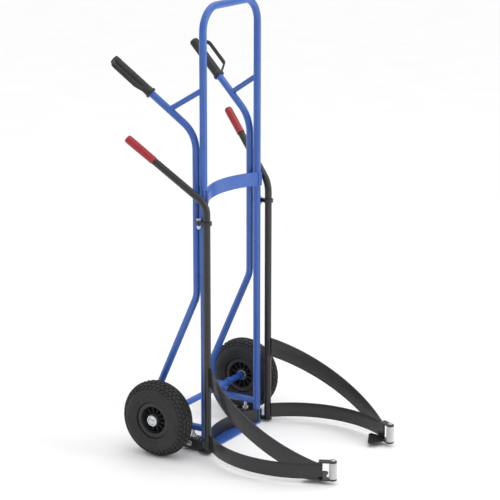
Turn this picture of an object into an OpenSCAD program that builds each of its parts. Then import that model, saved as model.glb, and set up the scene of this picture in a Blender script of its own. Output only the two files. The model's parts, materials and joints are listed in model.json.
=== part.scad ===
// Tubular hand truck for tyres and drums, with two hinged gripping arms.
// Frame: X across, -Y to the front where the arms reach, +Y to the operator, +Z up.
// The origin is on the floor, under the middle of the whole object's box.
// "left" is the +X side and "right" the -X side, as the operator sees them.

/* [Frame] */
// Half the distance between the two front tubes
tube_x = 167; // [160:1:172]
// Height of the top bend's centreline
frame_h = 1500; // [1450:10:1550]
// Outer radius of the front tubes
front_r = 12.5; // [12:0.5:13]
// Outer radius of the rear tubes
rear_r = 12; // [11:0.5:12.5]
// Wall thickness of all tubes
wall = 2; // [1.5:0.5:2.5]
// Centreline radius of the two top bends
top_bend = 80; // [70:5:100]
// Distance of the rear tubes behind the front tubes
rear_y = 29; // [27:0.5:32]
// Distance of the rear loop behind the front tubes
loop_y = 186; // [175:1:195]
// Height of the rear loop's lower leg
loop_z = 79; // [76:1:82]

/* [Handles] */
// Height where the rear tube turns into the handle
handle_z = 1088; // [1060:4:1120]
// Length of the handle from that turn to its end
handle_len = 366; // [350:2:380]
// Angle that the handle splays outwards
handle_splay = 14.5; // [10:0.5:18]
// Angle that the handle rises
handle_rise = 39.5; // [34:0.5:44]
// Length of the moulded grip
grip_len = 170; // [150:2:176]

/* [Wheels] */
// Outer radius of the tyre
wheel_r = 130; // [128:1:132]
// Radius of the tyre's round section
tyre_r = 42.5; // [41:0.5:43]
// Distance of each wheel's middle plane from the middle of the frame
wheel_x = 277; // [272:1:290]
// Distance of the axle behind the front tubes
axle_y = 115; // [112:1:118]

/* [Gripping arms] */
// Distance of the arm hinge outboard of the front tube
hinge_dx = 27; // [26.5:0.5:30]
// Distance of the arm hinge in front of the front tube
hinge_dy = 29; // [28:0.5:32]
// Outer radius of the hinge tube
hinge_r = 12; // [11:0.5:12]
// Height where the hinge tube turns into the lever
lever_z = 862; // [850:2:880]
// Length of the lever from that turn to its end
lever_len = 340; // [320:2:350]
// Angle that the lever splays outwards
lever_splay = 25.5; // [20:0.5:30]
// Angle that the lever rises
lever_rise = 40; // [35:0.5:44]
// Length of the sleeve on the lever
sleeve_len = 114; // [100:1:125]
// Reach of the arm bars in front of the hinge
arm_reach = 453; // [440:1:460]
// Offset of the arm's end outboard of the hinge
arm_end_dx = 20; // [10:1:30]
// How far the bars bulge outwards
arm_bulge = 82; // [70:1:95]
// Thickness of the arm bars
bar_t = 6; // [5:0.5:8]
// Width of the lower arm bar
lower_bar_w = 51; // [45:1:54]
// Height of the lower arm bar's underside
arm_z = 18; // [16:1:20]
// Top of the upper arm bar at the hinge
upper_bar_top = 309; // [290:1:320]
// Upright width of the upper arm bar at the hinge
upper_bar_w = 66; // [60:1:70]
// Radius of the tip roller
roller_r = 12.7; // [11:0.1:13]

/* [Hidden] */
$fn = 64;

blue = "#3F66B5";
blackSteel = "#3A3B3D";
steel = "#C9CCD0";
plastic = "#222325";

// Clearances
fit = 0.05;      // running fit between a shaft and its bearing, on the radius
slip = 0.1;      // gap between pieces pushed over each other, on the radius
gap = 0.4;       // gap between pieces that turn past each other
thin = 0.08;     // thinning of a tube's wall in a bend, on each face

// Hinge, arm and tip
hinge_x = tube_x + hinge_dx;
hinge_y = -hinge_dy;
bar_a = [hinge_x, hinge_y - hinge_r - 2];
bar_b = [hinge_x + arm_end_dx, hinge_y - arm_reach];
bar_chord = norm(bar_b - bar_a);
bar_dir = (bar_b - bar_a) / bar_chord;
bar_out = [-bar_dir[1], bar_dir[0]];
bar_r = (bar_chord * bar_chord / 4 + arm_bulge * arm_bulge) / (2 * arm_bulge);
bar_c = (bar_a + bar_b) / 2 + bar_out * (arm_bulge - bar_r);
bar_half = asin(bar_chord / 2 / bar_r);
bar_mid = atan2(bar_out[1], bar_out[0]);
lower_top = arm_z + lower_bar_w;
tip_top = lower_top + 4;
plate_t = 5;
pin_x = bar_b[0] - 15;
pin_y = bar_b[1] - 30;
pin_r = 4;
tip_r = 13;

// Direction of a rod that leaves straight up, is tipped back and then splayed outwards
function rod_dir(rise, splay) = [sin(splay) * cos(rise), cos(splay) * cos(rise), sin(rise)];
handle_start = [tube_x, rear_y, handle_z];
handle_dir = rod_dir(handle_rise, handle_splay);
handle_end = handle_start + handle_dir * handle_len;
lever_start = [hinge_x, hinge_y, lever_z];
lever_dir = rod_dir(lever_rise, lever_splay);
lever_end = lever_start + lever_dir * lever_len;

// Grip, and the shift that puts the origin under the middle of the box
grip_r = 16;
guard_out = 55;
guard_w = 16;
guard_t = 6;
box_back = handle_end[1] + grip_r * sqrt(1 - handle_dir[1] * handle_dir[1]);
box_front = pin_y - tip_r;
shift_y = -(box_back + box_front) / 2;

// Flat arcs between the front tubes
arc_r = 300;
arc_t = 5;
arc_mid_y = 37;
upper_arc_z = [858, 905];
lower_arc_z = [2, 52];
lower_arc_x = 156;
foot_z = [1, 6];
foot_front = -17.5;

// Loop, brace and axle
strut_top_z = 540;
strut_end_z = 195;
strut_bend = 90;
loop_bend = 75;
handle_bend = 115;
lever_bend = 70;
brace_r = 9;
brace_top_z = 1236;
brace_at = 118;
axle_r = 11;
spindle_r = 8;
collar_r = 14.5;
collar_w = 11;
hub_in = wheel_x - 25;
hub_out = wheel_x + 32;
cap_r = 19;

// Hinge bearings
clamp_z = 801;
clamp_t = 12;
clamp_bolt = [hinge_x - 3, 4];
spigot_r = hinge_r - wall - fit;
bracket_z = [8, 43];
bracket_t = 6;
hinge_foot = 16;
side_bolt = [47, 27];
stud_y = 46;

// ---------- helpers ----------

module placed(side = 1) {
    translate([0, shift_y, 0])
        if (side < 0) mirror([1, 0, 0]) children();
        else children();
}

module ring(r, t) {
    difference() {
        circle(r = r);
        if (t > 0) circle(r = r - t);
    }
}

function unit(v) = v / norm(v);

// Rigid frame with the axes x, y, z and the origin at p
function frame(x, y, z, p) = [
    [x[0], y[0], z[0], p[0]],
    [x[1], y[1], z[1], p[1]],
    [x[2], y[2], z[2], p[2]],
    [0, 0, 0, 1]];

// Straight stretch of tube from a to b; t is the wall, or 0 for a solid bar
module run(a, b, r, t = 0) {
    d = unit(b - a);
    side = abs(d[0]) < 0.9 ? unit(cross([1, 0, 0], d)) : unit(cross([0, 1, 0], d));
    multmatrix(frame(side, cross(d, side), d, a))
        linear_extrude(height = norm(b - a)) ring(r, t);
}

// Straight length that a bend takes up on each side of its corner
function setback(angle, bend) = bend * tan(angle / 2);

// Bent tube laid along Z from the origin. Each leg is [length, roll, angle, bend radius]:
// a straight stretch, then a bend towards +Y after the roll about the tube's own axis.
// The last leg is a straight stretch alone. A bend is thinned a little inside and out, and
// its ends reach slightly into the straight stretches.
module pipe(legs, r, t, i = 0) {
    leg = legs[i];
    last = i == len(legs) - 1;
    rotate([0, 0, last ? 0 : leg[1]]) {
        linear_extrude(height = leg[0]) ring(r, t);
        if (!last) translate([0, 0, leg[0]]) {
            angle = leg[2];
            bend = leg[3];
            multmatrix([[0, 0, -1, 0], [-1, 0, 0, bend], [0, 1, 0, 0], [0, 0, 0, 1]])
                rotate([0, 0, -0.5]) rotate_extrude(angle = angle + 1, $fn = 96)
                    translate([bend, 0]) ring(r - thin, t - 2 * thin);
            translate([0, bend * (1 - cos(angle)), bend * sin(angle)]) rotate([-angle, 0, 0])
                pipe(legs, r, t, i + 1);
        }
    }
}

// Puts a child that stands on Z along a rod's direction, with X kept outboard
module along(at, rise, splay) {
    translate(at) rotate([0, 0, -splay]) rotate([rise - 90, 0, 0]) children();
}

// Flat strip of thickness t through the points p, with round corners
module strip(p, t) {
    for (i = [0 : len(p) - 2]) {
        d = p[i + 1] - p[i];
        translate(p[i]) rotate(atan2(d[1], d[0])) translate([0, -t / 2]) square([norm(d), t]);
        if (i > 0) translate(p[i]) circle(r = t / 2, $fn = 32);
    }
}

module hex_head(r, h) {
    cylinder(r = r, h = h, $fn = 6);
}

// Upright front tubes as a solid, for cutting the pieces that meet them
module front_solid() {
    for (s = [-1, 1]) translate([s * tube_x, 0, 0]) cylinder(r = front_r, h = frame_h - top_bend);
}

// Upright curved band of the arm between the radii of its two faces
module arm_band(z0, z1) {
    translate([bar_c[0], bar_c[1], z0])
        rotate([0, 0, bar_mid - bar_half])
            rotate_extrude(angle = 2 * bar_half, $fn = 180)
                translate([bar_r - bar_t / 2, 0]) square([bar_t, z1 - z0]);
}

module hinge_solid() {
    translate([hinge_x, hinge_y, 0]) cylinder(r = hinge_r, h = lever_z);
}

// Curved flat band between the front tubes
module arc_band(z, half_x) {
    half = asin(half_x / arc_r);
    translate([0, arc_mid_y - arc_r, z[0]])
        rotate([0, 0, 90 - half])
            rotate_extrude(angle = 2 * half, $fn = 180)
                translate([arc_r - arc_t / 2, 0]) square([arc_t, z[1] - z[0]]);
}

// ---------- frame ----------

module front_frame() {
    side = frame_h - top_bend;
    legs = [[side, -90, 90, top_bend], [2 * (tube_x - top_bend), 0, 90, top_bend], [side]];
    color(blue) placed() translate([-tube_x, 0, 0]) pipe(legs, front_r, wall);
}

// From the front tube back under the axle, up round the loop, up the strut and out to the grip
module rear_tube(side) {
    lean = atan2(loop_y - rear_y, strut_top_z - strut_end_z);
    out = 90 - handle_rise;
    strut = norm([loop_y - rear_y, strut_top_z - strut_end_z]);
    cut = setback(lean, strut_bend);
    legs = [[loop_y - loop_bend, 180, 90, loop_bend],
            [strut_end_z - loop_z - loop_bend - cut, 0, lean, strut_bend],
            [strut - 2 * cut, 180, lean, strut_bend],
            [handle_z - strut_top_z - cut - setback(out, handle_bend), -handle_splay, out, handle_bend],
            [handle_len - 8 - setback(out, handle_bend)]];
    color(blue) placed(side) difference() {
        translate([tube_x, 0, loop_z]) rotate([-90, 0, 0]) pipe(legs, rear_r, wall);
        front_solid();
    }
}

module handle_brace(side) {
    end = handle_start + handle_dir * brace_at;
    color(blue) placed(side) difference() {
        run([tube_x, 0, brace_top_z], end, brace_r, wall);
        front_solid();
        run(handle_start, handle_end, rear_r);
    }
}

module upper_arc() {
    color(blue) placed() difference() {
        arc_band(upper_arc_z, tube_x + 4);
        front_solid();
    }
}

module lower_arc() {
    color(blackSteel) placed() difference() {
        arc_band(lower_arc_z, lower_arc_x);
        front_solid();
    }
}

// Flat plate between the two feet, from a straight front edge back to the lower arc
module foot_plate() {
    color(blue) placed() translate([0, 0, foot_z[0]]) difference() {
        linear_extrude(height = foot_z[1] - foot_z[0]) intersection() {
            translate([0, arc_mid_y - arc_r]) circle(r = arc_r - arc_t / 2 - 0.05, $fn = 360);
            translate([-tube_x - 2, foot_front]) square([2 * tube_x + 4, 80]);
        }
        front_solid();
    }
}

module axle_tube() {
    half = hub_in - 2;
    color(blue) placed()
        union() {
            run([-half, axle_y, wheel_r], [half, axle_y, wheel_r], axle_r, axle_r - spindle_r - slip);
            for (x = [-half, half - collar_w])
                run([x, axle_y, wheel_r], [x + collar_w, axle_y, wheel_r], collar_r, collar_r - spindle_r - slip);
        }
}

module axle_spindle() {
    half = hub_out + 8;
    color(steel) placed()
        run([-half, axle_y, wheel_r], [half, axle_y, wheel_r], spindle_r);
}

// Gusset in the corner of the rear loop that carries the axle tube
module axle_lug(side) {
    outline = [[axle_y - 1, 121], [axle_y + 9, 127], [loop_y - 7, 127], [loop_y - 21, 105], [loop_y - 39, 90.5],
               [loop_y - 56, 83.5], [axle_y + 9, 90]];
    color(blue) placed(side) difference() {
        translate([tube_x - 2.5, 0, 0]) rotate([90, 0, 90]) linear_extrude(height = 5) polygon(outline);
        translate([tube_x - 5, axle_y, wheel_r]) rotate([0, 90, 0]) cylinder(r = axle_r + slip, h = 10);
        translate([tube_x, 0, loop_z]) rotate([-90, 0, 0])
            pipe([[loop_y - loop_bend, 180, 90, loop_bend], [20]], rear_r, 0);
    }
}

module handgrip(side) {
    base = handle_len - grip_len;
    guard = [[grip_r - 4, 6], [guard_out, 48], [guard_out, grip_len - 20], [grip_r - 4, grip_len - 6]];
    color(plastic) placed(side) along(handle_start, handle_rise, handle_splay)
        translate([0, 0, base]) difference() {
            union() {
                cylinder(r = grip_r, h = grip_len);
                cylinder(r = grip_r + 3, h = 8);
                rotate([0, 0, -6]) rotate([90, 0, 0])
                    linear_extrude(height = guard_w, center = true) strip(guard, guard_t);
            }
            translate([0, 0, -1]) cylinder(r = rear_r + slip, h = grip_len - 6);
        }
}

// ---------- hinge bearings ----------

// Lug welded behind the middle bearing, drilled for its upright bolt
module clamp_lug(side) {
    color(blue) placed(side) difference() {
        translate([tube_x, -4, clamp_z - clamp_t / 2 - 5.4]) cube([hinge_x - tube_x + 6, 16, 5]);
        front_solid();
        translate([clamp_bolt[0], clamp_bolt[1], clamp_z - 20]) cylinder(r = 4.3, h = 40);
        hinge_ring(30);
    }
}

// Cylinder that keeps a piece clear of the turning hinge tube
module hinge_ring(h) {
    translate([hinge_x, hinge_y, clamp_z - h]) cylinder(r = hinge_r + 3, h = 2 * h);
}

module bearing_clamp(side) {
    color(blackSteel) placed(side)
        translate([0, 0, clamp_z - clamp_t / 2]) difference() {
            linear_extrude(height = clamp_t) difference() {
                union() {
                    translate([hinge_x, hinge_y]) circle(r = hinge_r + 5);
                    translate([hinge_x - 8, hinge_y]) square([13, clamp_bolt[1] - hinge_y]);
                    translate([clamp_bolt[0], clamp_bolt[1]]) circle(r = 9);
                }
                translate([hinge_x, hinge_y]) circle(r = hinge_r + fit);
                translate([clamp_bolt[0], clamp_bolt[1]]) circle(r = 4.3);
            }
            translate([tube_x, 0, -1]) cylinder(r = front_r + 0.5, h = clamp_t + 2);
        }
}

module clamp_bolts() {
    head_z = clamp_z + clamp_t / 2;
    nut_z = clamp_z - clamp_t / 2 - 5.4;
    color(steel) for (s = [-1, 1]) placed(s)
        translate([clamp_bolt[0], clamp_bolt[1], 0]) {
            translate([0, 0, head_z]) cylinder(r = 8, h = 1.6);
            translate([0, 0, head_z + 1.6]) hex_head(7, 5.5);
            translate([0, 0, nut_z - 1.6]) cylinder(r = 8, h = 1.6);
            translate([0, 0, nut_z - 8.1]) hex_head(7, 6.5);
            translate([0, 0, nut_z - 12]) cylinder(r = 4, h = head_z - nut_z + 14);
        }
}

// Open channel beside the front tube, with a tongue and spigot that carry the hinge tube
module base_bracket(side) {
    web_x = hinge_x - 4;
    z0 = bracket_z[0];
    z1 = bracket_z[1];
    inner_x = 150;
    flange_y = front_r + 4;
    back_y = 80;
    color(blackSteel) placed(side) difference() {
        union() {
            translate([web_x - bracket_t, -8, z0]) cube([bracket_t, back_y + 8, z1 - z0]);
            for (z = [z0, z1 - bracket_t])
                translate([inner_x, flange_y, z]) cube([web_x - inner_x, back_y - flange_y, bracket_t]);
            translate([hinge_x - 13, hinge_y, z0]) cube([26, -hinge_y, bracket_t]);
            translate([hinge_x, hinge_y, z0]) cylinder(r = 15, h = bracket_t);
            translate([hinge_x, hinge_y, z0]) cylinder(r = spigot_r, h = 40);
        }
        translate([hinge_x, hinge_y, z0 + bracket_t]) difference() {
            cylinder(r = hinge_r + 2, h = 60);
            translate([0, 0, -1]) cylinder(r = spigot_r, h = 62);
        }
        translate([web_x - 20, side_bolt[0], side_bolt[1]]) rotate([0, 90, 0]) cylinder(r = 5.1, h = 40);
        translate([tube_x, stud_y, -1]) cylinder(r = 5.1, h = 60);
    }
}

// Side bolts, and the upright studs that hang the brackets under the loop
module bracket_bolts() {
    web_x = hinge_x - 4;
    color(steel) for (s = [-1, 1]) placed(s) {
        translate([web_x, side_bolt[0], side_bolt[1]]) rotate([0, 90, 0]) {
            cylinder(r = 10, h = 2);
            translate([0, 0, 2]) hex_head(8.5, 6);
            translate([0, 0, -bracket_t - 10]) cylinder(r = 5, h = 18);
            translate([0, 0, -bracket_t - 7]) hex_head(8.5, 7);
        }
        translate([tube_x, stud_y, bracket_z[1]]) cylinder(r = 12, h = 2);
        translate([tube_x, stud_y, bracket_z[1] + 2]) hex_head(9.5, 7);
        translate([tube_x, stud_y, bracket_z[0] + bracket_t + 1]) difference() {
            cylinder(r = 5, h = loop_z - bracket_z[0] - bracket_t);
            translate([0, -10, loop_z - bracket_z[0] - bracket_t - 1]) rotate([-90, 0, 0])
                cylinder(r = rear_r, h = 20);
        }
    }
}

module axle_washers() {
    color(steel) for (s = [-1, 1]) placed(s)
        for (x = [hub_in - 1.8, hub_out + gap])
            translate([x, axle_y, wheel_r]) rotate([0, 90, 0]) difference() {
                cylinder(r = 13, h = 1.5);
                translate([0, 0, -1]) cylinder(r = spindle_r + slip, h = 4);
            }
}

// Domed caps pushed onto the ends of the axle
module axle_caps() {
    color(steel) for (s = [-1, 1]) placed(s)
        translate([hub_out + 2.2, axle_y, wheel_r]) rotate([0, 90, 0]) difference() {
            union() {
                cylinder(r = cap_r, h = 3);
                translate([0, 0, 3]) cylinder(r = cap_r - 4, h = 5);
            }
            translate([0, 0, -1]) cylinder(r = spindle_r + slip, h = 6.9);
        }
}

// ---------- wheels ----------

// Turns a profile drawn with X as radius and Y as the outboard direction about the axle
module wheel_part(side) {
    placed(side) translate([wheel_x, axle_y, wheel_r]) rotate([0, 90, 0])
        rotate_extrude($fn = 128) children();
}

tyre_ring = wheel_r - tyre_r;
bead_r = 63;

module tyre(side) {
    color("#2A2B2D") wheel_part(side) difference() {
        translate([tyre_ring, 0]) circle(r = tyre_r);
        translate([tyre_ring, 0]) circle(r = tyre_r - 9);
        translate([0, -60]) square([bead_r, 120]);
    }
}

module inner_tube(side) {
    color("#1B1B1B") wheel_part(side) translate([tyre_ring, 0]) ring(tyre_r - 9.5, 2);
}

module rim(side) {
    hub_half = (hub_out - hub_in) / 2;
    hub_mid = (hub_out + hub_in) / 2 - wheel_x;
    color(plastic) placed(side) translate([wheel_x, axle_y, wheel_r]) rotate([0, 90, 0]) difference() {
        union() {
            rotate_extrude($fn = 128) {
                translate([46, -30]) square([4, 60]);
                translate([46, 26]) square([bead_r - 46.2, 5]);
                translate([46, -31]) square([bead_r - 46.2, 5]);
                translate([16.1, hub_mid - hub_half + 1]) square([6, 2 * hub_half - 2]);
                translate([20, -4]) square([28, 5]);
            }
            for (i = [0 : 5]) rotate([0, 0, 60 * i])
                translate([20, -3, -24]) cube([27, 6, 44]);
        }
        rotate([0, 0, 30]) translate([55, 0, 0]) rotate([0, 90, 0])
            cylinder(r = 5.3, h = 40, center = true, $fn = 24);
    }
}

module hub_bearing(side) {
    hub_mid = (hub_out + hub_in) / 2 - wheel_x;
    hub_half = (hub_out - hub_in) / 2;
    color("#D9D9D2") wheel_part(side)
        translate([spindle_r + fit, hub_mid - hub_half]) square([16 - spindle_r - fit, 2 * hub_half]);
}

// Air valve through the rim
module valve(side) {
    color("#1B1B1B") placed(side) translate([wheel_x, axle_y, wheel_r]) rotate([0, 90, 0])
        rotate([0, 0, 30]) translate([36, 0, 0]) rotate([0, 90, 0])
            cylinder(r = 4.2, h = 18.3);
}

// ---------- gripping arms ----------

module hinge_tube(side) {
    out = 90 - lever_rise;
    cut = setback(out, lever_bend);
    legs = [[lever_z - hinge_foot - cut, -lever_splay, out, lever_bend], [lever_len - 4 - cut]];
    color(blackSteel) placed(side) translate([hinge_x, hinge_y, hinge_foot]) pipe(legs, hinge_r, wall);
}

module lever_sleeve(side) {
    color("#B3242B") placed(side) along(lever_start, lever_rise, lever_splay)
        translate([0, 0, lever_len - sleeve_len]) difference() {
            cylinder(r = hinge_r + 2, h = sleeve_len);
            translate([0, 0, -1]) cylinder(r = hinge_r + slip, h = sleeve_len - 2);
        }
}

module upper_bar(side) {
    front = bar_b[1] - 8;
    flat = bar_b[1] + 15;
    top_slope = (upper_bar_top - tip_top) / (bar_a[1] - flat);
    bottom_slope = top_slope * 0.995;
    bottom = upper_bar_top - upper_bar_w;
    outline = [[bar_a[1] + 8, upper_bar_top + top_slope * 8], [flat, tip_top], [front, tip_top],
               [front, bottom - bottom_slope * (bar_a[1] - front)], [bar_a[1] + 8, bottom + 8 * bottom_slope]];
    color(blackSteel) placed(side) difference() {
        intersection() {
            arm_band(lower_top, upper_bar_top + 20);
            translate([hinge_x - 60, 0, 0]) rotate([90, 0, 90])
                linear_extrude(height = 220) polygon(outline);
        }
        hinge_solid();
    }
}

module lower_bar(side) {
    color(blackSteel) placed(side) difference() {
        arm_band(arm_z, lower_top);
        hinge_solid();
    }
}

// Outline of the ear that holds one end of the roller's bolt
module ear_outline() {
    lean = atan2(pin_y - bar_b[1], pin_x - bar_b[0]);
    translate([pin_x, pin_y]) circle(r = tip_r);
    translate([pin_x, pin_y]) rotate(lean + 180) translate([0, -tip_r + 1]) square([46, 2 * tip_r - 2]);
}

module tip_plate(side) {
    color(blackSteel) placed(side) translate([0, 0, tip_top + gap]) difference() {
        linear_extrude(height = plate_t) ear_outline();
        translate([pin_x, pin_y, -1]) cylinder(r = pin_r + 0.2, h = 10);
    }
}

// Bottom ear with the toe that slides under the load
module toe_plate(side) {
    toe = [[bar_b[0] - 3, bar_b[1] - 10], [bar_b[0] + 20, bar_b[1] + 30], [bar_b[0] + 24, bar_b[1] + 62],
           [bar_b[0] + 12, bar_b[1] + 66], [bar_b[0] - 58, bar_b[1] + 32], [bar_b[0] - 56, bar_b[1] + 12]];
    color(blackSteel) placed(side) translate([0, 0, arm_z - plate_t]) difference() {
        linear_extrude(height = plate_t) union() {
            ear_outline();
            polygon(toe);
            translate([bar_b[0] - 50, bar_b[1] + 21]) circle(r = 13);
        }
        translate([pin_x, pin_y, -1]) cylinder(r = pin_r + 0.2, h = 10);
    }
}

module roller_bolt(side) {
    under = arm_z - plate_t;
    over = tip_top + gap + plate_t;
    color(steel) placed(side) translate([pin_x, pin_y, 0]) {
        translate([0, 0, over]) cylinder(r = 7.5, h = 5, $fn = 48);
        translate([0, 0, under - 6]) cylinder(r = pin_r, h = over - under + 6);
        translate([0, 0, under - 5]) hex_head(6.6, 5);
    }
}

module tip_roller(side) {
    low = arm_z + gap;
    high = tip_top;
    groove = (high - low) / 9;
    color("#C8CACC") placed(side) translate([pin_x, pin_y, low]) difference() {
        cylinder(r = roller_r, h = high - low);
        translate([0, 0, -1]) cylinder(r = pin_r + fit, h = high - low + 2);
        for (i = [1 : 8]) translate([0, 0, i * groove]) rotate_extrude($fn = 64)
            translate([roller_r, 0]) circle(r = 0.9, $fn = 16);
    }
}

// ---------- drawing ----------

front_frame();
rear_tube(1);  // rear_tube_left
rear_tube(-1);  // rear_tube_right
handle_brace(1);  // handle_brace_left
handle_brace(-1);  // handle_brace_right
upper_arc();
lower_arc();
foot_plate();
axle_tube();
axle_spindle();
axle_lug(1);  // axle_lug_left
axle_lug(-1);  // axle_lug_right
handgrip(1);  // handgrip_left
handgrip(-1);  // handgrip_right
clamp_lug(1);  // clamp_lug_left
clamp_lug(-1);  // clamp_lug_right
bearing_clamp(1);  // bearing_clamp_left
bearing_clamp(-1);  // bearing_clamp_right
clamp_bolts();
base_bracket(1);  // base_bracket_left
base_bracket(-1);  // base_bracket_right
bracket_bolts();
axle_washers();
axle_caps();
tyre(1);  // tyre_left
tyre(-1);  // tyre_right
inner_tube(1);  // inner_tube_left
inner_tube(-1);  // inner_tube_right
rim(1);  // rim_left
rim(-1);  // rim_right
hub_bearing(1);  // hub_bearing_left
hub_bearing(-1);  // hub_bearing_right
valve(1);  // valve_left
valve(-1);  // valve_right
hinge_tube(1);  // hinge_tube_left
hinge_tube(-1);  // hinge_tube_right
lever_sleeve(1);  // lever_sleeve_left
lever_sleeve(-1);  // lever_sleeve_right
upper_bar(1);  // upper_bar_left
upper_bar(-1);  // upper_bar_right
lower_bar(1);  // lower_bar_left
lower_bar(-1);  // lower_bar_right
tip_plate(1);  // tip_plate_left
tip_plate(-1);  // tip_plate_right
toe_plate(1);  // toe_plate_left
toe_plate(-1);  // toe_plate_right
roller_bolt(1);  // roller_bolt_left
roller_bolt(-1);  // roller_bolt_right
tip_roller(1);  // tip_roller_left
tip_roller(-1);  // tip_roller_right
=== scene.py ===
import json
import math
import bpy
from mathutils import Matrix, Vector


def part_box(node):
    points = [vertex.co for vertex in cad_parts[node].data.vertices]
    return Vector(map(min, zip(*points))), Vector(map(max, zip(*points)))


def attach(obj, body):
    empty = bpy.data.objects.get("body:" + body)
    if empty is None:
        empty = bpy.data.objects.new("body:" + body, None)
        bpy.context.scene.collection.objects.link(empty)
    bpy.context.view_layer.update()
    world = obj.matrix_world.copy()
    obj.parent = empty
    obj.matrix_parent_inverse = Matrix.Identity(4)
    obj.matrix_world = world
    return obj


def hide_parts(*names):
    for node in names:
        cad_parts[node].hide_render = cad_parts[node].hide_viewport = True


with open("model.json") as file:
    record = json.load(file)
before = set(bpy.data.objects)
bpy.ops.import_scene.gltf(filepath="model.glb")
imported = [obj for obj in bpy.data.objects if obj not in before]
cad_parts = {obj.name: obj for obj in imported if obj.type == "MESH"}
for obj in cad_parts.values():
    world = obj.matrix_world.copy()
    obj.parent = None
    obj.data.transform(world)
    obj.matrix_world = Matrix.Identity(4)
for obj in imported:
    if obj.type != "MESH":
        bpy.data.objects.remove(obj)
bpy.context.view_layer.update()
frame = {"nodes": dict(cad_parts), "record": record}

scene = bpy.context.scene
sides = (("left", 1), ("right", -1))


def linearColour(hexValue):
    parts = [int(hexValue[i:i + 2], 16) / 255 for i in (1, 3, 5)]
    return [c / 12.92 if c <= 0.04045 else ((c + 0.055) / 1.055) ** 2.4 for c in parts] + [1]


def addNode(tree, kind, links=None, **settings):
    # Adds one node; inputs by name or number, everything else is a property
    node = tree.nodes.new(kind)
    for key, value in settings.items():
        setattr(node, key, value)
    for key, value in (links or {}).items():
        if isinstance(value, bpy.types.NodeSocket):
            tree.links.new(value, node.inputs[key])
        else:
            node.inputs[key].default_value = value
    return node


def newMaterial(name, colour, metallic, roughness, **sockets):
    material = bpy.data.materials.new(name)
    material.use_nodes = True
    shader = material.node_tree.nodes["Principled BSDF"]
    shader.inputs["Base Color"].default_value = linearColour(colour)
    shader.inputs["Metallic"].default_value = metallic
    shader.inputs["Roughness"].default_value = roughness
    for key, value in sockets.items():
        shader.inputs[key.replace("_", " ")].default_value = value
    coords = addNode(material.node_tree, "ShaderNodeTexCoord")
    return material, material.node_tree, shader, coords.outputs["Object"]


def ramp(tree, source, stops):
    node = addNode(tree, "ShaderNodeValToRGB", {0: source})
    while len(node.color_ramp.elements) < len(stops):
        node.color_ramp.elements.new(0.5)
    for element, (place, value) in zip(node.color_ramp.elements, stops):
        element.position = place
        element.color = linearColour(value) if isinstance(value, str) else [value] * 3 + [1]
    return node.outputs[0]


def bumpFrom(tree, shader, height, strength, distance, normal=None):
    links = {"Height": height, "Strength": strength, "Distance": distance}
    if normal:
        links["Normal"] = normal
    node = addNode(tree, "ShaderNodeBump", links)
    tree.links.new(node.outputs[0], shader.inputs["Normal"])


def noise(tree, coords, scale, detail=3, roughness=0.5):
    settings = {"Vector": coords, "Scale": scale, "Detail": detail, "Roughness": roughness}
    return addNode(tree, "ShaderNodeTexNoise", settings).outputs[0]


def deselectAll():
    if bpy.context.object and bpy.context.object.mode != "OBJECT":
        bpy.ops.object.mode_set(mode="OBJECT")
    bpy.ops.object.select_all(action="DESELECT")


def activate(obj):
    deselectAll()
    obj.select_set(True)
    bpy.context.view_layer.objects.active = obj


def settle(obj):
    # Puts the object's place into its mesh
    activate(obj)
    bpy.ops.object.transform_apply(location=True, rotation=True, scale=True)


def applyModifier(obj, kind, **settings):
    activate(obj)
    modifier = obj.modifiers.new(kind.title(), kind)
    for key, value in settings.items():
        setattr(modifier, key, value)
    bpy.ops.object.modifier_apply(modifier=modifier.name)


def joinAll(objects, name):
    deselectAll()
    for obj in objects:
        obj.select_set(True)
    bpy.context.view_layer.objects.active = objects[0]
    if len(objects) > 1:
        bpy.ops.object.join()
    obj = bpy.context.object
    obj.name = name
    obj.data.name = name
    return obj


def smoothByAngle(obj, degrees=35):
    activate(obj)
    bpy.ops.object.shade_smooth_by_angle(angle=math.radians(degrees))


def placeOnFrame(obj, matrix):
    obj.data.transform(matrix)
    obj.data.update()


def framed(xAxis, zAxis, origin):
    # Rigid frame with local Z along zAxis and local X as near xAxis as it can be
    z = Vector(zAxis).normalized()
    x = (Vector(xAxis) - z * Vector(xAxis).dot(z)).normalized()
    y = z.cross(x)
    return Matrix((
        (x[0], y[0], z[0], origin[0]), (x[1], y[1], z[1], origin[1]),
        (x[2], y[2], z[2], origin[2]), (0, 0, 0, 1)))


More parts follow.
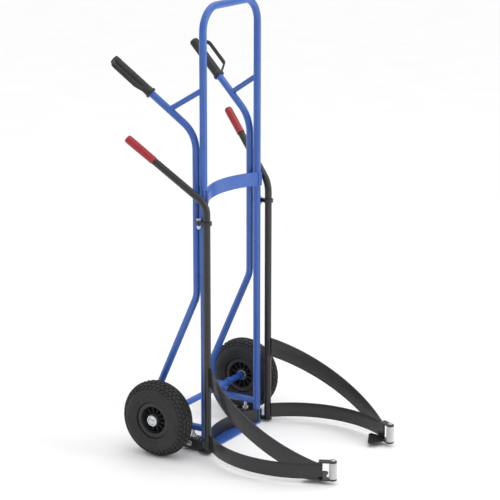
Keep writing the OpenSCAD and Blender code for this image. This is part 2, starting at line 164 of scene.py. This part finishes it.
def paintedSteel(name, colour, dark, roughness, wear):
    # Powder coat on steel: sprayed dry, then baked, which leaves a fine orange peel and a soft gloss
    material, tree, shader, coords = newMaterial(
        name, colour, 0, roughness, Coat_Weight=0.25, Coat_Roughness=0.18)
    patches = noise(tree, coords, 9, 4)
    shade = ramp(tree, patches, [(0.3, dark), (0.7, colour)])
    edges = addNode(tree, "ShaderNodeBevel", {"Radius": 0.0012}, samples=6)
    flat = addNode(tree, "ShaderNodeNewGeometry")
    turn = addNode(tree, "ShaderNodeVectorMath", {0: edges.outputs[0], 1: flat.outputs["Normal"]},
                   operation="DOT_PRODUCT")
    rubbed = ramp(tree, turn.outputs["Value"], [(0.86, 1.0), (0.985, 0.0)])
    scatter = ramp(tree, noise(tree, coords, 160, 2), [(0.42, 0.0), (0.62, 1.0)])
    share = addNode(tree, "ShaderNodeMath", {0: rubbed, 1: scatter}, operation="MULTIPLY")
    share = addNode(tree, "ShaderNodeMath", {0: share.outputs[0], 1: 0.55}, operation="MULTIPLY")
    mixed = addNode(tree, "ShaderNodeMix", {0: share.outputs[0], 6: shade, 7: linearColour(wear)},
                    data_type="RGBA")
    tree.links.new(mixed.outputs[2], shader.inputs["Base Color"])
    gloss = ramp(tree, noise(tree, coords, 30, 3), [(0.3, roughness - 0.06), (0.7, roughness + 0.07)])
    tree.links.new(gloss, shader.inputs["Roughness"])
    peel = noise(tree, coords, 420, 2)     # orange peel of about 2.5 mm, a little coarser than real
    bumpFrom(tree, shader, peel, 0.16, 0.0004, edges.outputs[0])
    return material


def zincPlated():
    # Zinc-plated steel: bright, slightly blue, with fine turning and handling marks
    material, tree, shader, coords = newMaterial("zincPlatedSteel", "#D3D6DA", 1, 0.26)
    shade = ramp(tree, noise(tree, coords, 70, 4), [(0.3, "#BFC3C9"), (0.7, "#E2E4E6")])
    tree.links.new(shade, shader.inputs["Base Color"])
    gloss = ramp(tree, noise(tree, coords, 240, 3), [(0.3, 0.2), (0.7, 0.36)])
    tree.links.new(gloss, shader.inputs["Roughness"])
    bumpFrom(tree, shader, noise(tree, coords, 900, 2), 0.12, 0.0002)
    return material


def rubberCompound(name, colour, dusty, roughness):
    # Carbon-black rubber, moulded: nearly matt, with a fine mould grain and pale dust in random patches
    material, tree, shader, coords = newMaterial(name, colour, 0, roughness, Specular_IOR_Level=0.42)
    cloud = noise(tree, coords, 24, 5, 0.6)
    shade = ramp(tree, cloud, [(0.35, colour), (0.75, dusty)])
    tree.links.new(shade, shader.inputs["Base Color"])
    gloss = ramp(tree, noise(tree, coords, 60, 3), [(0.3, roughness - 0.1), (0.7, roughness + 0.08)])
    tree.links.new(gloss, shader.inputs["Roughness"])
    bumpFrom(tree, shader, noise(tree, coords, 1100, 3, 0.7), 0.25, 0.00025)
    return material


def mouldedPlastic(name, colour, light, roughness, grain, **sockets):
    # Injection-moulded plastic with a spark-eroded grain, which gives a dull even sheen
    material, tree, shader, coords = newMaterial(name, colour, 0, roughness, **sockets)
    shade = ramp(tree, noise(tree, coords, 40, 4), [(0.3, colour), (0.75, light)])
    tree.links.new(shade, shader.inputs["Base Color"])
    gloss = ramp(tree, noise(tree, coords, 90, 3), [(0.3, roughness - 0.05), (0.7, roughness + 0.07)])
    tree.links.new(gloss, shader.inputs["Roughness"])
    cells = addNode(tree, "ShaderNodeTexVoronoi", {"Vector": coords, "Scale": grain}).outputs["Distance"]
    bumpFrom(tree, shader, cells, 0.2, 0.0003)
    return material


bluePaint = paintedSteel("bluePowderCoat", "#3462B4", "#2D58A9", 0.32, "#7F96C4")
blackPaint = paintedSteel("blackPowderCoat", "#1C1C1E", "#171719", 0.42, "#626264")
zinc = zincPlated()
tyreRubber = rubberCompound("tyreRubber", "#262628", "#323233", 0.72)
tubeRubber = rubberCompound("butylRubber", "#1C1C1D", "#242425", 0.6)
rimPlastic = mouldedPlastic("rimPolypropylene", "#222224", "#2B2B2D", 0.5, 1300)
gripPlastic = mouldedPlastic("gripPvc", "#1F2021", "#2A2B2C", 0.52, 1000)
redVinyl = mouldedPlastic(
    "dippedVinyl", "#981720", "#A62029", 0.42, 700, Coat_Weight=0.2, Coat_Roughness=0.3)
nylon = mouldedPlastic("naturalNylon", "#CFCFC8", "#DAD9D2", 0.45, 900)
rollerNylon = mouldedPlastic("rollerNylon", "#C0C1C3", "#CCCDCF", 0.42, 900)

finishes = {
    "blue_paint": bluePaint, "black_paint": blackPaint, "zinc_steel": zinc, "grip_plastic": gripPlastic,
    "rim_plastic": rimPlastic, "tyre": tyreRubber, "tube_rubber": tubeRubber, "bearing_plastic": nylon,
    "red_sleeve": redVinyl, "roller_plastic": rollerNylon}

slotOf = {part["node"]: part["material_slot"] for part in frame["record"]["subparts"]}
bodyOf = {node: body for body, nodes in frame["record"]["behaviour"]["bodies"].items() for node in nodes}
for nodeName, obj in frame["nodes"].items():
    obj.data.materials.clear()
    obj.data.materials.append(finishes[slotOf[nodeName]])
print("materials on", len(frame["nodes"]), "frame nodes")


def finishPiece(obj, slotName, body, *replaced):
    obj.data.materials.clear()
    obj.data.materials.append(finishes[slotName])
    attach(obj, body)
    if replaced:
        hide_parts(*replaced)
    return obj


def middle(nodeName):
    low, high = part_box(nodeName)
    return (low + high) / 2


frameLow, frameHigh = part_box("front_frame")
frontY = (frameLow.y + frameHigh.y) / 2
layout = {
    "tubeRadius": 0.0125, "hingeAside": 0.027, "hingeAhead": 0.029, "rearBehind": 0.029,
    "capHeight": 0.008}
tubeX = frameHigh.x - layout["tubeRadius"]
hingeX = tubeX + layout["hingeAside"]
hingeY = frontY - layout["hingeAhead"]


def rodFrame(at, rise, splay, side):
    # Local Z along a rod that rises and splays, local X outboard
    rise, splay = math.radians(rise), math.radians(splay)
    direction = (side * math.sin(splay) * math.cos(rise), math.cos(splay) * math.cos(rise), math.sin(rise))
    return framed((side * math.cos(splay), -math.sin(splay), 0), direction, at)


def newOutline(name, points, closed=True):
    mesh = bpy.data.meshes.new(name)
    edges = [(i, i + 1) for i in range(len(points) - 1)]
    if closed:
        edges.append((len(points) - 1, 0))
    mesh.from_pydata([tuple(p) for p in points], edges, [])
    obj = bpy.data.objects.new(name, mesh)
    scene.collection.objects.link(obj)
    activate(obj)
    return obj


def turned(name, profile, steps=64, closed=True):
    # Turns a profile of (radius, height) in millimetres about local Z
    obj = newOutline(name, [(r / 1000, 0, z / 1000) for r, z in profile], closed)
    bpy.ops.object.mode_set(mode="EDIT")
    bpy.ops.mesh.select_all(action="SELECT")
    bpy.ops.mesh.spin(steps=steps, angle=2 * math.pi, center=(0, 0, 0), axis=(0, 0, 1))
    bpy.ops.mesh.select_all(action="SELECT")
    bpy.ops.mesh.remove_doubles(threshold=0.00001)
    bpy.ops.mesh.normals_make_consistent(inside=False)
    bpy.ops.object.mode_set(mode="OBJECT")
    return obj


def softened(nodeName, width, segments=2, angle=35):
    # A copy of a CAD node with its sharp edges rounded, which stands for it
    source = frame["nodes"][nodeName]
    obj = bpy.data.objects.new(nodeName + "_rounded", source.data.copy())
    scene.collection.objects.link(obj)
    activate(obj)
    bpy.ops.object.mode_set(mode="EDIT")
    bpy.ops.mesh.select_all(action="SELECT")
    bpy.ops.mesh.customdata_custom_splitnormals_clear()
    bpy.ops.mesh.remove_doubles(threshold=0.00002)
    bpy.ops.mesh.dissolve_limited(angle_limit=math.radians(0.15))
    bpy.ops.object.mode_set(mode="OBJECT")
    applyModifier(obj, "BEVEL", width=width, segments=segments, limit_method="ANGLE",
                  angle_limit=math.radians(angle), use_clamp_overlap=True)
    smoothByAngle(obj, 30)
    return finishPiece(obj, slotOf[nodeName], bodyOf[nodeName], nodeName)


def ribbon(name, points, halfWidth, depth, resolution=6, radii=None):
    # A bar swept along points: round if halfWidth is 0, otherwise a flat bar with round edges
    curve = bpy.data.curves.new(name, "CURVE")
    curve.dimensions = "3D"
    curve.twist_mode = "MINIMUM" if halfWidth == 0 else "Z_UP"
    curve.extrude = halfWidth
    curve.bevel_depth = depth
    curve.bevel_resolution = resolution
    curve.use_fill_caps = True
    spline = curve.splines.new("POLY")
    spline.points.add(len(points) - 1)
    for i, p in enumerate(points):
        spline.points[i].co = (*p, 1)
        spline.points[i].radius = radii[i] if radii else 1
    obj = bpy.data.objects.new(name, curve)
    scene.collection.objects.link(obj)
    activate(obj)
    bpy.ops.object.convert(target="MESH")
    obj = bpy.context.object
    bpy.ops.object.mode_set(mode="EDIT")
    bpy.ops.mesh.select_all(action="SELECT")
    bpy.ops.mesh.remove_doubles(threshold=0.000005)
    bpy.ops.mesh.normals_make_consistent(inside=False)
    bpy.ops.object.mode_set(mode="OBJECT")
    return obj


def roundedPath(corners, radius, cuts=8):
    # Straight runs joined by arcs at the inner corners
    path = [Vector(corners[0])]
    for before, at, after in zip(corners, corners[1:], corners[2:]):
        before, at, after = Vector(before), Vector(at), Vector(after)
        inward, outward = (before - at).normalized(), (after - at).normalized()
        reach = radius / math.tan(inward.angle(outward) / 2)
        centre = at + (inward + outward).normalized() * radius / math.sin(inward.angle(outward) / 2)
        first, last = at + inward * reach - centre, at + outward * reach - centre
        for i in range(cuts + 1):
            path.append(centre + first.slerp(last, i / cuts) * radius / first.slerp(last, i / cuts).length)
    path.append(Vector(corners[-1]))
    return path


tyre = {
    "ringRadius": 0.0875, "sectionRadius": 0.0425, "beadRadius": 0.063, "wall": 0.009,
    "treadDepth": 0.0036, "pitches": 44, "rowAngles": (0, 17, 34, 51), "blockLength": 0.0135,
    "blockWidth": 0.0098}


def wheelFrame(side, k):
    return framed((0, 0, 1), (k, 0, 0), middle("tyre_" + side))


def onTyre(around, across, height):
    # Point on the tyre from its angle about the axle, its angle across the section and its height above it
    reach = tyre["sectionRadius"] + height
    radius = tyre["ringRadius"] + reach * math.cos(across)
    return Vector((radius * math.cos(around), radius * math.sin(around), reach * math.sin(across)))


def treadBlock(rowAngle, skew, length, width):
    deselectAll()
    bpy.ops.mesh.primitive_cube_add(size=1)
    block = bpy.context.object
    block.scale = (length, width, tyre["treadDepth"] + 0.001)
    settle(block)
    bpy.ops.object.mode_set(mode="EDIT")
    bpy.ops.mesh.select_all(action="SELECT")
    bpy.ops.mesh.subdivide(number_cuts=2)
    bpy.ops.object.mode_set(mode="OBJECT")
    top = tyre["treadDepth"] / 2 + 0.0005
    for v in block.data.vertices:
        taper = 1 - 0.12 * (v.co.z > 0)
        x, y = v.co.x * taper, v.co.y * taper
        x += skew * y          # the blocks lean, so that each ring of them zigzags
        across = math.radians(rowAngle) + y / tyre["sectionRadius"]
        radius = tyre["ringRadius"] + tyre["sectionRadius"] * math.cos(across)
        v.co = onTyre(x / radius, across, v.co.z - top)
    return block


def makeTyre(side, k):
    section = tyre["sectionRadius"] * 1000
    ring = tyre["ringRadius"] * 1000
    depth = tyre["treadDepth"] * 1000
    outer = []
    for degrees in range(-125, 126, 5):
        size = abs(degrees)
        drop = depth if size <= 55 else max(0.25, depth * (68 - size) / 13)
        drop -= 0.9 if size in (80, 85) else 0     # scuff rib round the sidewall
        drop += 0.9 if size in (110, 115) else 0   # groove beside the bead
        angle = math.radians(degrees)
        outer.append((ring + (section - drop) * math.cos(angle), (section - drop) * math.sin(angle)))
    inner = []
    for degrees in range(136, -137, -8):
        angle = math.radians(degrees)
        inner.append((ring + (section - 9) * math.cos(angle), (section - 9) * math.sin(angle)))
    pieces = [turned("carcass", outer + inner, 96)]
    smoothByAngle(pieces[0], 50)
    for row, rowAngle in enumerate(tyre["rowAngles"]):
        for sign in ((1,) if rowAngle == 0 else (1, -1)):
            shoulder = row == len(tyre["rowAngles"]) - 1
            width = tyre["blockWidth"] * (1.25 if shoulder else 1)
            length = tyre["blockLength"] * (0.78 if shoulder else 1)
            block = treadBlock(sign * rowAngle, sign * (0.55 if row % 2 else -0.55), length, width)
            mesh = block.data
            for i in range(tyre["pitches"]):
                copy = bpy.data.objects.new("block", mesh.copy())
                scene.collection.objects.link(copy)
                turn = (i + 0.5 * (row % 2)) * 2 * math.pi / tyre["pitches"]
                copy.data.transform(Matrix.Rotation(turn, 4, "Z"))
                pieces.append(copy)
            bpy.data.objects.remove(block)
    obj = joinAll(pieces, "tyre_tread_" + side)
    placeOnFrame(obj, wheelFrame(side, k))
    return finishPiece(obj, "tyre", "wheel_" + side, "tyre_" + side)


rimProfile = [
    (62.6, 25.5), (62.9, 28), (61.6, 30.3), (58.5, 31.3), (54, 30.6), (50.5, 31.2), (47.4, 30),
    (46.2, 27.5), (45.5, 4.5), (43.5, 2.2), (25, 2.2), (22.8, 4.5), (22.2, 28.5), (21.2, 30.6),
    (16.2, 30.8), (16.2, -23.8), (21.3, -23.6), (22.2, -21.5), (22.6, -7), (25, -5), (43.5, -5),
    (45.5, -7.5), (46.2, -27.5), (47.4, -30), (50.5, -31.2), (54, -30.6), (58.5, -31.3),
    (61.6, -30.3), (62.9, -28), (62.6, -25.5), (52.2, -24.5), (50.2, -22), (50, 0), (50.2, 22),
    (52.2, 24.5)]
rib = {"count": 12, "inner": 0.0215, "outer": 0.0465, "width": 0.0036, "low": -0.022, "high": 0.0195}


def makeRim(side, k):
    barrel = turned("barrel", rimProfile, 96)
    applyModifier(barrel, "BEVEL", width=0.0007, segments=2, limit_method="ANGLE",
                  angle_limit=math.radians(40))
    smoothByAngle(barrel, 40)
    pieces = [barrel]
    for i in range(rib["count"]):
        deselectAll()
        bpy.ops.mesh.primitive_cube_add(size=1)
        spoke = bpy.context.object
        spoke.scale = (rib["outer"] - rib["inner"], rib["width"], rib["high"] - rib["low"])
        spoke.location = ((rib["outer"] + rib["inner"]) / 2, 0, (rib["high"] + rib["low"]) / 2)
        settle(spoke)
        for v in spoke.data.vertices:   # each rib drops towards the rim and thickens at its root
            if v.co.x > 0.03 and v.co.z > 0:
                v.co.z -= 0.005
            v.co.y *= 1.25 if v.co.x > 0.03 else 0.9
        applyModifier(spoke, "BEVEL", width=0.0012, segments=3)
        spoke.data.transform(Matrix.Rotation((i + 0.5) * 2 * math.pi / rib["count"], 4, "Z"))
        smoothByAngle(spoke, 40)
        pieces.append(spoke)
    obj = joinAll(pieces, "rim_moulded_" + side)
    placeOnFrame(obj, wheelFrame(side, k))
    return finishPiece(obj, "rim_plastic", "wheel_" + side, "rim_" + side)


capProfile = [
    (0, 9.2), (3.5, 9.1), (7.5, 8.4), (10.6, 6.9), (12.6, 5.2), (13.6, 3.9), (15, 3.2), (17, 3.3),
    (18.4, 2.8), (19, 1.6), (18.8, 0.3), (17.5, 0), (9, 0), (9, 2), (0, 2)]


def makeCap(side, k):
    obj = turned("axle_cap_domed_" + side, capProfile, 64, closed=False)
    smoothByAngle(obj, 35)
    low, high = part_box("axle_caps")
    outer = (high.x if k > 0 else -low.x) - layout["capHeight"]
    hub = middle("tyre_" + side)
    placeOnFrame(obj, framed((0, 0, 1), (k, 0, 0), (k * outer, hub.y, hub.z)))
    return obj


for side, k in sides:
    makeTyre(side, k)
    makeRim(side, k)
caps = joinAll([makeCap(side, k) for side, k in sides], "axle_caps_domed")
finishPiece(caps, "zinc_steel", "truck", "axle_caps")
print("wheels done")

softEdges = {
    "foot_plate": 0.0008, "base_bracket": 0.0009, "axle_lug": 0.0008, "clamp_lug": 0.0006,
    "upper_bar": 0.0011, "lower_bar": 0.0011, "tip_plate": 0.0008, "clamp_bolts": 0.0005,
    "bracket_bolts": 0.0006, "roller_bolt": 0.0005, "axle_washers": 0.0003}
for nodeName in sorted(frame["nodes"]):
    for start, width in softEdges.items():
        if nodeName == start or nodeName in (start + "_left", start + "_right"):
            softened(nodeName, width)
print("flat parts and bolts rounded")


grip = {
    "rise": 39.5, "splay": 14.5, "bend": 1.088, "reach": 0.366, "length": 170, "radius": 16,
    "socket": 12.12, "grooves": 18, "grooveDepth": 0.75,
    "guardCorners": [(11, 7), (55, 48), (55, 150), (11, 163)],
    "guardTurn": -6, "guardHalfWidth": 0.0048, "guardRound": 0.0031, "guardCorner": 0.016}


def makeGrip(side, k):
    # Moulded grip with finger grooves, a collar against the tube and a knuckle guard bowed outboard
    radius, length = grip["radius"], grip["length"]
    profile = [(0, length - 6), (grip["socket"], length - 6), (grip["socket"], 0), (18.2, 0), (19, 0.8),
               (19, 6.6), (18.4, 7.7), (17, 8.2), (radius, 10)]
    pitch = (length - 36) / grip["grooves"]     # 18 mm is left plain at each end
    floorRadius = radius - grip["grooveDepth"]
    for i in range(grip["grooves"]):
        z = 18 + i * pitch
        profile += [(radius, z), (floorRadius, z + 1), (floorRadius, z + 2.4), (radius, z + 3.4)]
    profile += [(radius, length - 5), (radius - 0.6, length - 2.6), (radius - 2.4, length - 0.7),
                (radius - 5, length), (0, length)]
    body = turned("gripBody", profile, 64, closed=False)
    corners = [(x / 1000, z / 1000, 0) for x, z in grip["guardCorners"]]
    path = roundedPath(corners, grip["guardCorner"])
    guard = ribbon("guard", path, grip["guardHalfWidth"], grip["guardRound"])
    guard.data.transform(Matrix.Rotation(math.radians(90), 4, "X"))
    guard.data.transform(Matrix.Rotation(math.radians(grip["guardTurn"]), 4, "Z"))
    obj = joinAll([body, guard], "grip_moulded_" + side)
    smoothByAngle(obj, 45)
    if k < 0:     # the right side is a mirror image
        obj.data.transform(Matrix.Scale(-1, 4, (0, 1, 0)))
        obj.data.flip_normals()
    start = Vector((k * tubeX, frontY + layout["rearBehind"], grip["bend"]))
    place = rodFrame(start, grip["rise"], grip["splay"], k)
    placeOnFrame(obj, place @ Matrix.Translation((0, 0, grip["reach"] - length / 1000)))
    return finishPiece(obj, "grip_plastic", "truck", "handgrip_" + side)


sleeve = {
    "rise": 40, "splay": 25.5, "bend": 0.862, "reach": 0.34, "length": 114, "radius": 14, "socket": 12.1}


def makeSleeve(side, k):
    # Dipped vinyl: a soft round end, a thin rolled mouth and a slight swell where it ran down
    length, radius = sleeve["length"], sleeve["radius"]
    profile = [(0, length - 2), (sleeve["socket"], length - 2), (sleeve["socket"], 0), (12.9, -0.3),
               (13.6, 0.2), (13.9, 1.2), (13.7, 3), (13.4, 9)]
    for i in range(9):
        z = 16 + i * 10
        profile.append((13.4 + (radius - 13.4) * math.sin(math.radians(i * 90 / 8)), z))
    profile += [(radius, 103), (13.6, 107.5), (12.2, 110.8), (9.6, 113), (5.5, 113.9), (0, 114)]
    obj = turned("lever_sleeve_dipped_" + side, profile, 64, closed=False)
    smoothByAngle(obj, 60)
    start = Vector((k * hingeX, hingeY, sleeve["bend"]))
    place = rodFrame(start, sleeve["rise"], sleeve["splay"], k)
    placeOnFrame(obj, place @ Matrix.Translation((0, 0, sleeve["reach"] - length / 1000)))
    return finishPiece(obj, "red_sleeve", "arm_" + side, "lever_sleeve_" + side)


roller = {
    "radius": 12.7, "bore": 4.05, "grooves": 8, "grooveDepth": 1.1,
    "grooveShape": ((-1.2, 0), (-0.85, 0.25), (-0.5, 0.8), (0, 1), (0.5, 0.8), (0.85, 0.25), (1.2, 0))}


def makeRoller(side, k):
    # Turned nylon roller with round-bottomed grooves
    low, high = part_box("tip_roller_" + side)
    height = (high.z - low.z) * 1000
    radius, pitch = roller["radius"], height / (roller["grooves"] + 1)
    profile = [(roller["bore"], 0), (radius - 1, 0), (radius - 0.3, 0.3), (radius, 1)]
    for i in range(1, roller["grooves"] + 1):
        for step, share in roller["grooveShape"]:
            profile.append((radius - roller["grooveDepth"] * share, i * pitch + step))
    profile += [(radius, height - 1), (radius - 0.3, height - 0.3), (radius - 1, height),
                (roller["bore"], height)]
    obj = turned("tip_roller_turned_" + side, profile, 64)
    smoothByAngle(obj, 50)
    placeOnFrame(obj, Matrix.Translation(((low.x + high.x) / 2, (low.y + high.y) / 2, low.z)))
    return finishPiece(obj, "roller_plastic", "roller_" + side, "tip_roller_" + side)


for side, k in sides:
    makeGrip(side, k)
    makeSleeve(side, k)
    makeRoller(side, k)
print("grips, sleeves and rollers done")


weld = {
    "size": 0.0023, "ripple": 0.14, "pitch": 0.0028, "axleRadius": 0.0116, "axleAside": 0.0028,
    "lowerBarLength": 0.05, "upperBarLength": 0.062}


def weldBead(path):
    # A welded seam: a round bead whose width rises and falls where the weld pool stopped and went on
    cuts = []
    for start, end in zip(path, path[1:]):
        steps = max(1, round((end - start).length / (weld["pitch"] / 4)))
        cuts += [start.lerp(end, i / steps) for i in range(steps)]
    cuts.append(path[-1])
    radii = [1 + weld["ripple"] * math.sin(i * math.pi / 2) for i in range(len(cuts))]
    radii[0] = radii[-1] = 0.6
    bead = ribbon("bead", cuts, 0, weld["size"], resolution=2, radii=radii)
    smoothByAngle(bead, 60)
    return bead


def meet(centreA, radiusA, centreB, radiusB, near):
    # Where two circles cross in plan, on the side nearer to a given point
    a, b = Vector(centreA), Vector(centreB)
    gap = (b - a).length
    along = (radiusA ** 2 - radiusB ** 2 + gap ** 2) / (2 * gap)
    away = math.sqrt(max(0, radiusA ** 2 - along ** 2))
    unit = (b - a) / gap
    turnedUnit = Vector((-unit.y, unit.x))
    options = [a + unit * along + turnedUnit * away * sign for sign in (1, -1)]
    return min(options, key=lambda point: (point - Vector(near)).length)


def upright(point, low, high):
    return [Vector((point.x, point.y, low)), Vector((point.x, point.y, high))]


arch = {"radius": 0.3, "middle": 0.037, "halfThickness": 0.0025, "tubeRadius": 0.0125}
bar = {"reach": 0.453, "drift": 0.02, "bulge": 0.082, "halfThickness": 0.003, "tubeRadius": 0.012}


def archBeads(nodeName, k):
    low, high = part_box(nodeName)
    centre = (0, frontY + arch["middle"] - arch["radius"])
    beads = []
    for face in (1, -1):
        reach = arch["radius"] + face * arch["halfThickness"]
        near = (k * (tubeX - 0.011), frontY)
        point = meet(centre, reach, (k * tubeX, frontY), arch["tubeRadius"], near)
        beads.append(weldBead(upright(point, low.z + 0.001, high.z - 0.001)))
    return beads


def barBeads(side, k):
    a = Vector((hingeX, hingeY - bar["tubeRadius"] - 0.002))
    b = Vector((hingeX + bar["drift"], hingeY - bar["reach"]))
    chord = (b - a).length
    ahead = (b - a) / chord
    outward = Vector((-ahead.y, ahead.x))
    radius = (chord ** 2 / 4 + bar["bulge"] ** 2) / (2 * bar["bulge"])
    centre = (a + b) / 2 + outward * (bar["bulge"] - radius)
    low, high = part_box("lower_bar_" + side)[0].z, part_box("upper_bar_" + side)[1].z
    split = high - weld["upperBarLength"]
    beads = []
    for face in (1, -1):
        point = meet(centre, radius + face * bar["halfThickness"], (hingeX, hingeY), bar["tubeRadius"], a)
        point.x *= k
        beads.append(weldBead(upright(point, low + 0.001, low + weld["lowerBarLength"])))
        beads.append(weldBead(upright(point, split, high - 0.002)))
    return beads


frameBeads = []
for side, k in sides:
    frameBeads += archBeads("upper_arc", k)
    hub = middle("tyre_" + side)
    for face in (1, -1):
        x, reach = k * tubeX + face * weld["axleAside"], weld["axleRadius"]
        turns = [math.radians(a) for a in range(30, 331, 15)]
        ring = [Vector((x, hub.y + reach * math.cos(a), hub.z + reach * math.sin(a))) for a in turns]
        frameBeads.append(weldBead(ring))
finishPiece(joinAll(frameBeads, "frame_welds"), "blue_paint", "truck")
footBeads = [bead for side, k in sides for bead in archBeads("lower_arc", k)]
finishPiece(joinAll(footBeads, "foot_welds"), "black_paint", "truck")
for side, k in sides:
    finishPiece(joinAll(barBeads(side, k), "arm_welds_" + side), "black_paint", "arm_" + side)
print("welds done")


studio = {"floor": "#F5F5F5", "sky": 1.5, "skyStops": [(0, 0.2), (0.3, 0.42), (1, 1.0)]}
floorFinish, floorTree, floorShader, floorCoords = newMaterial("studioFloor", studio["floor"], 0, 0.7)
tint = ramp(floorTree, noise(floorTree, floorCoords, 3, 3), [(0.3, "#F4F4F4"), (0.7, "#F6F6F6")])
floorTree.links.new(tint, floorShader.inputs["Base Color"])
deselectAll()
bpy.ops.mesh.primitive_plane_add(size=60, location=(0, 0, 0))
floor = bpy.context.object
floor.name = "floor"
floor.data.materials.append(floorFinish)

scene.view_settings.view_transform = "Standard"
world = bpy.data.worlds.new("studio")
scene.world = world
world.use_nodes = True
skyTree = world.node_tree
skyCoords = addNode(skyTree, "ShaderNodeTexCoord")
skyParts = addNode(skyTree, "ShaderNodeSeparateXYZ", {0: skyCoords.outputs["Generated"]})
skyShade = ramp(skyTree, skyParts.outputs[2], studio["skyStops"])     # dim at the horizon, bright overhead
skyRays = addNode(skyTree, "ShaderNodeLightPath")
skyWhite = [1 / studio["sky"]] * 3 + [1]     # the sky itself is seen as plain white
skyMix = addNode(skyTree, "ShaderNodeMix", {0: skyRays.outputs["Is Camera Ray"], 6: skyShade, 7: skyWhite},
                 data_type="RGBA")
skyTree.links.new(skyMix.outputs[2], skyTree.nodes["Background"].inputs["Color"])
skyTree.nodes["Background"].inputs["Strength"].default_value = studio["sky"]

studioLights = [
    # place, aimed at, width, height, watts
    ((0.6, -0.6, 4.6), (0, 0, 0.5), 3.0, 3.0, 12),
    ((1.2, -4.4, 2.2), (0, 0, 0.8), 0.8, 2.8, 70)]
for i, (place, aim, width, height, watts) in enumerate(studioLights):
    lamp = bpy.data.lights.new("softbox" + str(i), "AREA")
    lamp.shape = "RECTANGLE"
    lamp.size, lamp.size_y, lamp.energy = width, height, watts
    obj = bpy.data.objects.new("softbox" + str(i), lamp)
    scene.collection.objects.link(obj)
    obj.location = place
    obj.rotation_euler = (Vector(aim) - Vector(place)).to_track_quat("-Z", "Y").to_euler()

view = {
    "place": (-5.135, -3.131, 2.276), "heading": 31.87, "down": 14.1, "lens": 134.2,
    "shift": (0.0155, -0.05)}
cameraData = bpy.data.cameras.new("camera")
cameraData.lens = view["lens"]
cameraData.sensor_width = 36
cameraData.shift_x, cameraData.shift_y = view["shift"]
cameraData.clip_end = 200
camera = bpy.data.objects.new("camera", cameraData)
scene.collection.objects.link(camera)
camera.location = view["place"]
camera.rotation_euler = (math.radians(90 - view["down"]), 0, math.radians(view["heading"] - 90))
scene.camera = camera
print("lights and camera set")
